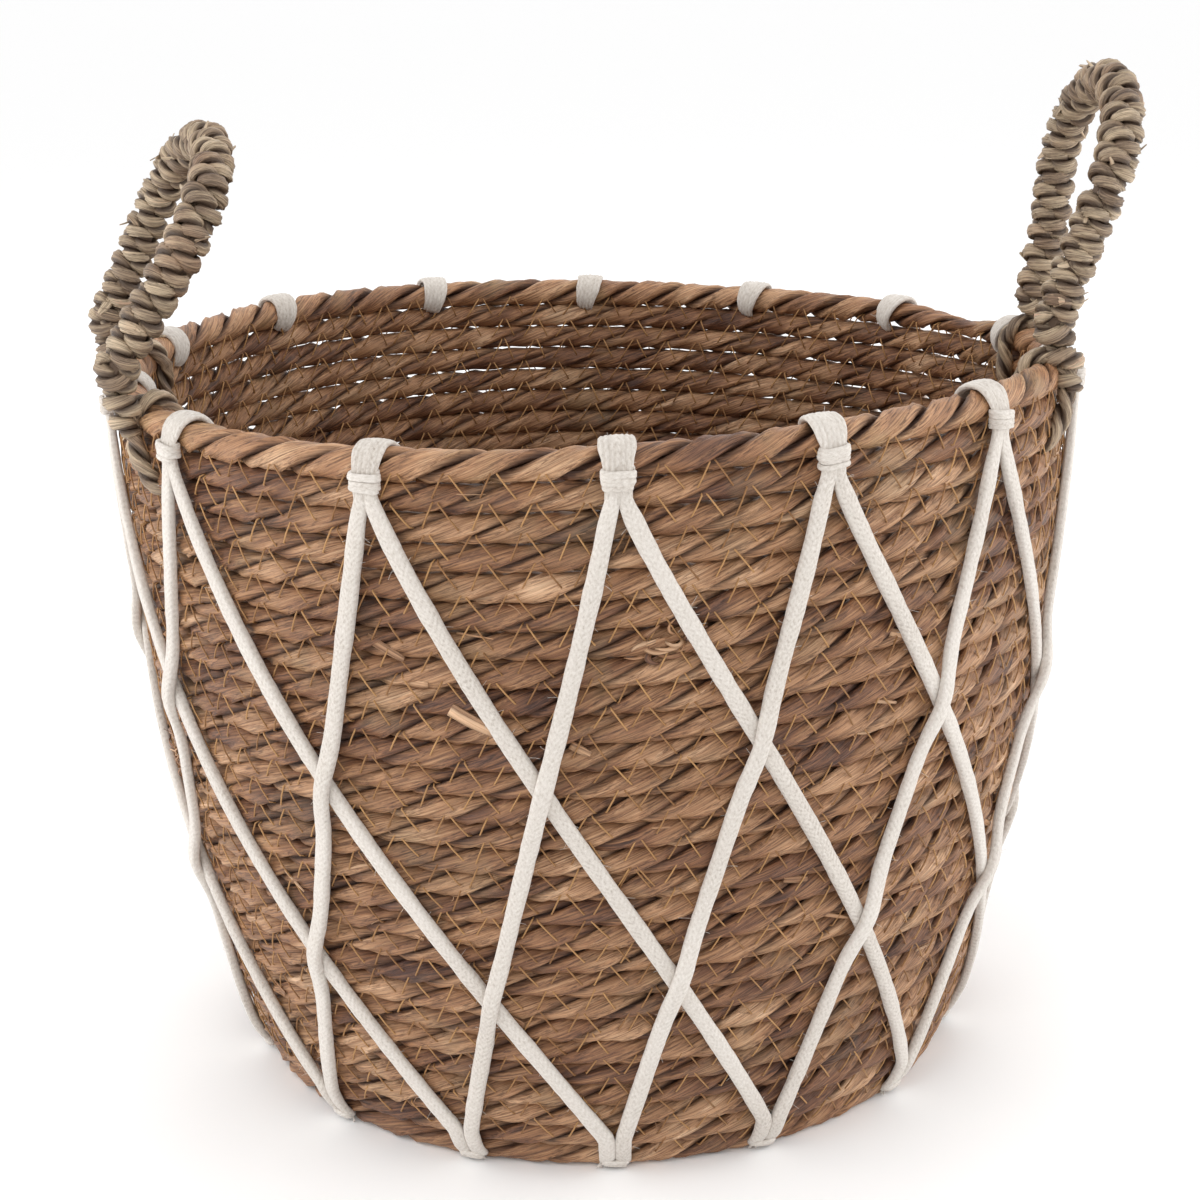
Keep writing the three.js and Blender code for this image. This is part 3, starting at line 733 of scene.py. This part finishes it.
def lacing(k):
    """One length of cord: up from a foot, over the rim and down to the other foot."""
    seed = 200 + 10 * k
    skins = []
    strands = {steps: strand_path(k, steps) for steps in (-1, 2)}
    for steps, path in strands.items():
        width = np.interp(path[:, 2], [RIM_Z - 20, RIM_Z - 10], [CORD_W, CORD_W_IN_WHIPPING])
        thick = np.interp(path[:, 2], THICK_Z, THICKNESS)
        skins.append(cord_skin(path, outward(path), width, thick, seed + steps))
    path, out, width = saddle_path(tie_angle(k, RIM_DRIFT))
    thick = np.full(len(path), SADDLE_T)
    skins.append(cord_skin(path, out, width, thick, seed + 5, sides=56, ridges=SADDLE_YARNS))
    skins += cotton_fuzz(strands.values(), seed + 6, 70)
    skins += cotton_fuzz([path], seed + 7, 30)
    piece = make_piece(f"cotton_lacing_{k + 1:02d}", skins, cotton)
    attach(piece, "tub")
    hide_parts(f"lacing_cord_{k + 1:02d}")


def cotton_fuzz(paths, seed, count):
    """Fine fibres that stand off the cord, `count` of them on each path."""
    rng = np.random.default_rng(seed)
    shares = np.linspace(0, 1, 4)[:, None]
    skins = []
    for path in paths:
        out = outward(path)
        across = unit(np.cross(out, np.gradient(path, axis=0)))
        for start in rng.integers(4, len(path) - 4, count):
            side = rng.choice([-1, 1])
            edge = across[start] * side
            root = path[start] + edge * CORD_W * rng.uniform(0.25, 0.48) + out[start] * 0.8
            tip = rng.normal(0, 1.3, 3) + edge * rng.uniform(0.2, 1.6)
            curl = rng.normal(0, 0.6, 3)
            fibre = root + tip * shares + curl * shares ** 2
            skins.append(flat_tube(fibre, outward(fibre), 2 * FUZZ_R, 2 * FUZZ_R, 3, 0.8, int(start)))
    return skins


# ---- whippings and knots ----
# Yarn wound round cords. Its middle is at height `z` and `out` of the wall, and its turns are `half_w`
# by `half_t` from there and rise by `rise` in all.
Winding = namedtuple("Winding", "z out half_w half_t turns rise yarn_r")
WHIPPING = Winding(z=RIM_Z - 4.2, out=4.1, half_w=4.9, half_t=2.5, turns=5, rise=6.0, yarn_r=1.05)
KNOT = Winding(z=3.6, out=2.0, half_w=4.6, half_t=2.1, turns=2, rise=2.4, yarn_r=0.95)
TURN_RINGS = 30
FRAYS = 9                    # frayed ends of a knot
FRAY_W, FRAY_T = 0.7, 0.6


def wound_yarn(angle, winding, seed):
    rng = np.random.default_rng(seed)
    turns = winding.turns
    turn = np.linspace(0, turns, TURN_RINGS * turns)
    psi = math.tau * turn
    half_w = winding.half_w * (1 + 0.07 * wander(turn, 0.8, seed + 4))
    along = half_w * squared(np.cos(psi), 0.6)
    stand = winding.half_t * squared(np.sin(psi), 0.8)
    tilt = rng.uniform(-0.12, 0.12) * along + 0.6 * wander(turn, 0.4, seed + 3)
    height = winding.z + winding.rise * (turn / turns - 0.5) + tilt
    path = off_wall(angle, along, winding.out + stand, height)
    normal = path - off_wall(angle, 0 * along, np.full_like(along, winding.out), height)
    taper = np.minimum(1, 6 * np.minimum(turn, turns - turn) + 0.4)
    width, thick = 2 * winding.yarn_r * taper, 1.7 * winding.yarn_r * taper
    return cord_skin(path, normal, width, thick, seed, sides=10)


def rim_whipping(k):
    skins = [wound_yarn(tie_angle(k, RIM_DRIFT), WHIPPING, 500 + k)]
    piece = make_piece(f"yarn_whipping_{k + 1:02d}", skins, cotton)
    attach(piece, "tub")
    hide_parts(f"rim_whipping_{k + 1:02d}")


def base_tie(k):
    """A small knot at the lower edge, with frayed ends."""
    angle = tie_angle(k, BASE_DRIFT)
    rng = np.random.default_rng(700 + k)
    skins = [wound_yarn(angle, KNOT, 720 + k)]
    shares = np.linspace(0, 1, 5)
    out = at(np.full(5, angle), 0.3, 1.0)
    for n in range(FRAYS):
        along = rng.uniform(-5, 5)
        length = rng.uniform(4, 9)
        z = np.maximum(3.5 - 2.9 * shares ** 0.7 + 0.3 * rng.uniform(-1, 1, 5), 0.5)
        spread = along + length * 0.5 * shares * rng.uniform(-1, 1)
        path = off_wall(angle, spread, 1.2 + length * 0.35 * shares, z)
        skins.append(flat_tube(path, out, FRAY_W, FRAY_T, 5, rng.uniform(), n))
    piece = make_piece(f"frayed_knot_{k + 1:02d}", skins, cotton)
    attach(piece, "tub")
    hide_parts(f"base_tie_{k + 1:02d}")


# ---- handles ----
HANDLE_TURNS = 27
LEG_TAIL = 7.0               # how far a leg goes on below the hinge line
HINGE_Z = RIM_Z + 21.07      # the hinge line, over the rim rope and the braid on it
GRASS_PLIES = Plies(offset=2.2, radial=2.4, wide=3.3, period=15.0, flat=0.84, ridge=0.11)
FOOT_PLIES = GRASS_PLIES._replace(period=25.0)
GRASS_TONE_STEP = 16.0
WINDING_R = 5.0              # middle of the cord from the middle of the handle
WINDING_INSET = 5.5          # length of leg that is left bare at each end
TURN_DRIFT = 0.16            # how unevenly the turns are spaced
TURN_SLANT = 2.6             # how much higher the left of a turn is than its middle
LEAF_TIPS = 30               # in each handle
TIP_FROM, TIP_RISE = 6.6, 3.6  # height of a leaf tip over the handle's middle line
TIP_T = 0.45
LEAF_T = 0.5
LEAF_SHARES = np.linspace(0, 1, 7)  # places along a short strip of leaf


def foot_angles(side):
    half = HALF_CHORD / (RIM_R * (1 - OVAL))
    return {"front": side * (HANDLE_ANGLE - half), "back": side * (HANDLE_ANGLE + half)}


def handle_curve(name):
    """The middle line of a handle's rope, as a function of length from the end of its front leg."""
    shape = HANDLES[name]
    angles = foot_angles(shape.side)
    rim_angles = np.array([angles["front"], angles["back"]])
    feet = out_of_true(at(rim_angles, RIM_R + shape.stand, HINGE_Z))
    chord = feet[1] - feet[0]
    half = np.linalg.norm(chord) / 2
    chord = unit(chord)
    away = np.array([shape.side, 0.0, 0.0])
    away = unit(away - (away @ chord) * chord)
    upright = np.array([0.0, 0.0, 1.0])
    upright = unit(upright - chord[2] * chord)
    tilt = math.radians(shape.lean)
    up = upright * math.cos(tilt) + away * math.sin(tilt)
    normal = unit(np.cross(chord, up))
    middle = feet.mean(0)
    leg = shape.rise - half + LEG_TAIL
    arc = math.pi * half

    def point_at(s):
        theta = np.clip((s - leg) / half, 0, math.pi)
        below = np.maximum(0, leg - s) + np.maximum(0, s - leg - arc)
        u = -half * np.cos(theta)
        v = shape.rise - half + half * np.sin(theta) - below
        turn = math.radians(shape.twist) * smoothstep(v / shape.rise)
        in_plane = np.outer(u * np.cos(turn), chord)
        out_of_plane = np.outer(u * np.sin(turn), normal)
        return middle + in_plane + out_of_plane + np.outer(v, up)

    return point_at, 2 * leg + arc, normal


def around(middle, normal, turns, radius):
    """A helix round a middle line, and the directions that point away from that line."""
    along = unit(np.gradient(middle, axis=0))
    side = unit(np.cross(along, normal))
    face = np.cross(side, along)
    alpha = math.tau * np.asarray(turns)[:, None]
    out = side * np.cos(alpha) + face * np.sin(alpha)
    return middle + out * np.reshape(radius, (-1, 1)), out


def handle_winding(name):
    """Seagrass cord wound round a handle from leg to leg, with leaf tips between its turns."""
    seed = HANDLES[name].seed
    point_at, length, normal = handle_curve(name)
    s = np.linspace(WINDING_INSET, length - WINDING_INSET, 1000)
    turns = HANDLE_TURNS * s / length
    middle = point_at(s)
    drift = TURN_DRIFT * wander(s, 11, seed + 5)
    path, out = around(middle, normal, turns + drift, WINDING_R)
    along = unit(np.gradient(middle, axis=0))
    path = path - TURN_SLANT * out[:, :1] * along * along[:, 2:]
    ends = np.minimum(1, np.minimum(turns, turns[-1] - turns + turns[0]) * 2 + 0.2)
    size = ends * (1 + 0.05 * wander(s, 14, seed + 6))
    skins = twisted(path, out, GRASS_PLIES, seed, size, GRASS_TONE_STEP)
    skins += leaf_tips(point_at, length, normal, seed + 7)
    piece = make_piece(f"{name}_handle_cord", skins, seagrass, of_tub=False)
    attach(piece, f"{name}_handle")
    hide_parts(f"{name}_handle_winding")
    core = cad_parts[f"{name}_handle_core"]
    core.data.materials.clear()
    core.data.materials.append(core_grass)


def leaf_tips(point_at, length, normal, seed):
    """Short ends of leaf that stick out between the turns of a handle."""
    rng = np.random.default_rng(seed)
    radius = TIP_FROM + TIP_RISE * LEAF_SHARES ** 1.5
    skins = []
    for n in range(LEAF_TIPS):
        s = rng.uniform(12, length - 12)
        reach = rng.uniform(5, 13)
        places = s + reach * LEAF_SHARES * rng.uniform(-0.5, 0.9)
        turn = rng.uniform() + 0.09 * LEAF_SHARES * rng.uniform(-1, 1)
        path, out = around(point_at(places), normal, turn, radius)
        width = rng.uniform(1.2, 4.4) * (1 - 0.6 * LEAF_SHARES ** 3)
        skins.append(flat_tube(path, out, width, TIP_T, 6, rng.uniform(0.4, 1), n))
    return skins


# ---- handle feet ----
NECK_TURNS = 3.4
NECK_LEG = np.array([LEG_TAIL + 5, LEG_TAIL + 1, 3.0])  # places on the leg that a neck follows
NECK_RIM_UP = np.array([10.0, 2.5, -5.5])  # then these heights over the rim rope's middle
NECK_WIDE, NECK_NARROW = 5.0, 1.6  # radius of its turns, and how much of it goes
# One cord of a foot goes over the rim rope, by these degrees from straight out, and down inside.
OVER_FROM, OVER_TO = -10, 175
OVER_R = 8.6
INSIDE_Z = np.array([296.0, 288.0, 281.0, 276.0])
INSIDE_OUT = np.array([-3.4, -3.2, -2.0, ROPE_R]) - 2 * ROPE_R
INSIDE_ALONG = np.array([4.0, 5.0, 6.0, 6.5])
# The other goes down outside. Both end inside the wall's rope.
OUTSIDE_Z = np.array([308.0, 302.0, 294.0, 287.0, 281.0, 277.0])
OUTSIDE_OUT = np.array([3.0, 3.6, 3.2, 3.0, 1.6, -3.5])
OUTSIDE_ALONG = np.array([-2.0, -1.0, 3.0, 7.5, 11.5, 14.0])
FOOT_STEP = 1.6
OVER_SIZE, OUTSIDE_SIZE = 0.9, 0.92
FOOT_LEAVES = 5
FOOT_LEAF_TOP = 304


def foot_neck(name, end, seed):
    """Turns of cord that carry the winding on from the leg to the rim."""
    point_at, length, normal = handle_curve(name)
    side, stand = HANDLES[name].side, HANDLES[name].stand
    angle = foot_angles(side)[end]
    leg = point_at(NECK_LEG if end == "front" else length - NECK_LEG)
    down = np.array([max(stand - 1, 5.5), max(stand - 2, 8.5), 9.5])
    rim = out_of_true(off_rim(angle, 0.0, down, NECK_RIM_UP))
    middle = resample(np.concatenate([leg, rim]), 0.5)
    share = np.linspace(0, 1, len(middle))
    path, out = around(middle, normal, NECK_TURNS * share, NECK_WIDE - NECK_NARROW * share)
    ends = np.minimum(1, np.minimum(6 * share, 6 * (1 - share)) + 0.3)
    size = ends * (1 - 0.12 * share)
    skins = twisted(path, out, FOOT_PLIES, seed, size, GRASS_TONE_STEP)
    piece = make_piece(f"{name}_{end}_foot_neck", skins, seagrass, of_tub=False)
    low = out_of_true(at(np.array([angle]), RIM_R + stand, RIM_Z + 6))[0]
    high = out_of_true(at(np.array([angle]), RIM_R + stand, HINGE_Z + 1))[0]
    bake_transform(piece)


def cord_over_rim(angle, drift, seed):
    """A foot's cord from outside the rim rope, over it and down inside."""
    phi = np.radians(np.linspace(OVER_FROM, OVER_TO, 8))
    along = drift * np.linspace(0, 3, 8)
    over = off_rim(angle, along, OVER_R * np.cos(phi), OVER_R * np.sin(phi))
    inside = off_wall(angle, drift * INSIDE_ALONG, INSIDE_OUT, INSIDE_Z)
    path = resample(np.concatenate([over, inside]), FOOT_STEP)
    centre = at(np.array([angle]), RIM_R, RIM_Z)[0]
    from_wall = np.sign(np.linalg.norm(path[:, :2], axis=1) - RIM_R)[:, None]
    above = (path[:, 2] > RIM_Z)[:, None]
    out = unit(np.where(above, path - centre, outward(path) * from_wall))
    return twisted(path, out, FOOT_PLIES, seed, OVER_SIZE, GRASS_TONE_STEP)


def cord_down_outside(angle, drift, seed):
    path = resample(off_wall(angle, drift * OUTSIDE_ALONG, OUTSIDE_OUT, OUTSIDE_Z), FOOT_STEP)
    return twisted(path, outward(path), FOOT_PLIES, seed, OUTSIDE_SIZE, GRASS_TONE_STEP)


def foot_cords(name, end, seed):
    """Two ends of seagrass cord at a foot, which go into the wall, and loose leaves."""
    side = HANDLES[name].side
    angle = foot_angles(side)[end]
    drift = -side * (1 if end == "front" else -1)
    skins = cord_over_rim(angle, drift, seed) + cord_down_outside(angle, drift, seed + 1)
    rng = np.random.default_rng(seed)
    shares = LEAF_SHARES
    for n in range(FOOT_LEAVES):
        start = rng.uniform(-4, 4)
        fall = rng.uniform(6, 13)
        along = start - drift * (1 + 5 * shares * rng.uniform(0, 1))
        out = 2.5 + 4 * shares * rng.uniform(0.2, 1)
        path = off_wall(angle, along, out, FOOT_LEAF_TOP - fall * shares)
        width = rng.uniform(1.5, 3.6) * (1 - 0.6 * shares ** 3)
        skins.append(flat_tube(path, outward(path), width, LEAF_T, 6, rng.uniform(0.3, 1), n))
    piece = make_piece(f"{name}_{end}_foot_cords", skins, seagrass)
    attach(piece, "tub")
    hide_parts(f"{name}_{end}_foot_braid")


# ---- loose leaf ends on the wall ----
CUT_ENDS = 70
STRAY_FIBRES = 160
END_T = 0.4
FIBRE_W, FIBRE_T = 0.3, 0.25
# Worn spots: degrees round the tub, height, and how many ends of leaf.
WORN_SPOTS = ((4, 236.0, 20), (-71, 150.0, 12))
STRIP_ANGLE = math.radians(-19)  # one broad strip of leaf has come loose
STRIP_Z, STRIP_LENGTH, STRIP_FALL, STRIP_W = 213, 16, 9, 5.5


def frayed_patch(angle, z, count):
    """A worn spot where torn leaf curls out of the rope."""
    rng = np.random.default_rng(int(z))
    shares = np.linspace(0, 1, 9)
    skins = []
    for n in range(count):
        start = rng.uniform(-9, 9)
        reach = rng.uniform(5, 12)
        lift = rng.uniform(1.0, 3.5)
        turn = rng.uniform(0, math.tau)
        curl = turn + rng.uniform(-1.8, 1.8) * shares
        along = start + reach * shares * np.cos(curl)
        out = -0.8 + lift * np.sin(2.6 * shares)
        height = z + rng.uniform(-4, 4) + 0.6 * reach * shares * np.sin(curl)
        path = off_wall(angle, along, out, height)
        width = rng.uniform(0.5, 2.6) * (1 - 0.7 * shares ** 2)
        skins.append(flat_tube(path, outward(path), width, END_T, 6, rng.uniform(0.2, 1), n))
    return skins


def cut_ends(rng):
    """Cut ends of leaf that stand a little off the wall."""
    shares = LEAF_SHARES
    skins = []
    for n in range(CUT_ENDS):
        angle = rng.uniform(-math.pi, math.pi)
        z = rng.uniform(20, 285)
        length = rng.uniform(5, 15)
        lift = rng.uniform(0.6, 2.4)
        slope = rng.uniform(-0.6, 0.15)
        path = off_wall(angle, length * shares, -0.6 + lift * shares, z + slope * length * shares)
        width = rng.uniform(0.8, 4.0) * (1 - 0.4 * shares ** 4)
        skins.append(flat_tube(path, outward(path), width, END_T, 6, rng.uniform(0.5, 1), n))
    return skins


def stray_fibres(rng):
    shares = LEAF_SHARES
    skins = []
    for n in range(STRAY_FIBRES):
        angle = rng.uniform(-math.pi, math.pi)
        z = rng.uniform(15, 300)
        length = rng.uniform(4, 14)
        bow = rng.uniform(-3, 3)
        along = length * shares * rng.uniform(-1, 1)
        out = rng.uniform(0.5, 4) * shares ** 1.5
        path = off_wall(angle, along, out, z + bow * shares ** 2 * rng.uniform(0.5, 2))
        skins.append(flat_tube(path, outward(path), FIBRE_W, FIBRE_T, 4, rng.uniform(0.3, 1), n))
    return skins


def loose_strip():
    shares = LEAF_SHARES
    out = 0.6 + 2.6 * shares * (1 - shares)
    path = off_wall(STRIP_ANGLE, STRIP_LENGTH * shares, out, STRIP_Z - STRIP_FALL * shares)
    return flat_tube(path, outward(path), STRIP_W - 2 * shares ** 3, LEAF_T, 8, 0.95, 5)


def loose_ends():
    rng = np.random.default_rng(41)
    skins = cut_ends(rng) + stray_fibres(rng)
    for degrees, z, count in WORN_SPOTS:
        skins += frayed_patch(math.radians(degrees), z, count)
    skins.append(loose_strip())
    piece = make_piece("loose_leaf_ends", skins, rush)
    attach(piece, "tub")


# ---- floor, light and camera, in metres ----
FLOOR_SIZE = 60
FLOOR_Z = -0.0004            # just under the object, so that the two don't share a plane
FLOOR_COLOUR = (0.99, 0.99, 0.99, 1)
LAMP_TARGET = Vector((0, 0, 0.16))
Lamp = namedtuple("Lamp", "name place size power")
LAMPS = (
    Lamp("key", (-0.9, -1.4, 2.1), 1.2, 6.0),
    Lamp("left", (-1.7, -0.2, 0.7), 1.2, 12.0),
    Lamp("right", (1.7, -0.2, 0.7), 1.2, 12.0),
    Lamp("back", (0.3, 1.6, 1.8), 1.6, 8.0),
)
CAMERA_PLACE = (-0.0505, -0.8466, 0.4718)
CAMERA_YAW = 0.0608          # turned to the right of +Y, in radians
CAMERA_PITCH = 0.3154        # looking down
CAMERA_ROLL = -0.0197
CAMERA_LENS = 60.35          # millimetres, on a sensor this wide:
CAMERA_SENSOR = 36


def aim(direction, roll_up):
    """A rotation that looks along direction with roll_up as near to up as it can be."""
    ahead = unit(np.array(direction, float))
    right = unit(np.cross(ahead, roll_up))
    up = np.cross(right, ahead)
    return Matrix(np.stack([right, up, -ahead], 1).tolist())


def floor():
    bpy.ops.mesh.primitive_plane_add(size=FLOOR_SIZE, location=(0, 0, FLOOR_Z))
    ground = bpy.context.active_object
    ground.name = "floor"
    pale = Shader("floor", 0.9, 0.1)
    pale.surface.inputs["Base Color"].default_value = FLOOR_COLOUR
    ground.data.materials.append(pale.material)


def lights():
    """A white room, and soft lamps that look at the object."""
    world = bpy.data.worlds.new("studio")
    bpy.context.scene.world = world
    world.use_nodes = True
    backdrop = world.node_tree.nodes["Background"]
    backdrop.inputs["Color"].default_value = WHITE
    backdrop.inputs["Strength"].default_value = 1.0
    for lamp in LAMPS:
        light = bpy.data.lights.new(lamp.name, "AREA")
        light.size = lamp.size
        light.energy = lamp.power
        holder = bpy.data.objects.new(lamp.name, light)
        holder.location = lamp.place
        direction = LAMP_TARGET - Vector(lamp.place)
        holder.rotation_euler = direction.to_track_quat("-Z", "Y").to_euler()
        bpy.context.scene.collection.objects.link(holder)


def camera():
    data = bpy.data.cameras.new("camera")
    data.lens = CAMERA_LENS
    data.sensor_width = CAMERA_SENSOR
    shooter = bpy.data.objects.new("camera", data)
    flat = math.cos(CAMERA_PITCH)
    ahead = (math.sin(CAMERA_YAW) * flat, math.cos(CAMERA_YAW) * flat, -math.sin(CAMERA_PITCH))
    level = aim(ahead, (0, 0, 1))
    shooter.matrix_world = (level @ Matrix.Rotation(CAMERA_ROLL, 3, "Z")).to_4x4()
    shooter.location = CAMERA_PLACE
    bpy.context.scene.collection.objects.link(shooter)
    bpy.context.scene.camera = shooter


def main():
    camera()
    floor()
    lights()
    rope_coil()
    rim_rope()
    stitches(outside=True)
    stitches(outside=False)
    for k in range(TIES):
        lacing(k)
        rim_whipping(k)
        base_tie(k)
    for name, shape in HANDLES.items():
        handle_winding(name)
        for n, end in enumerate(("front", "back")):
            foot_neck(name, end, shape.seed + 11 + n)
            foot_cords(name, end, shape.seed + 21 + 4 * n)
    loose_ends()
    bpy.context.scene.view_settings.view_transform = "Standard"


main()
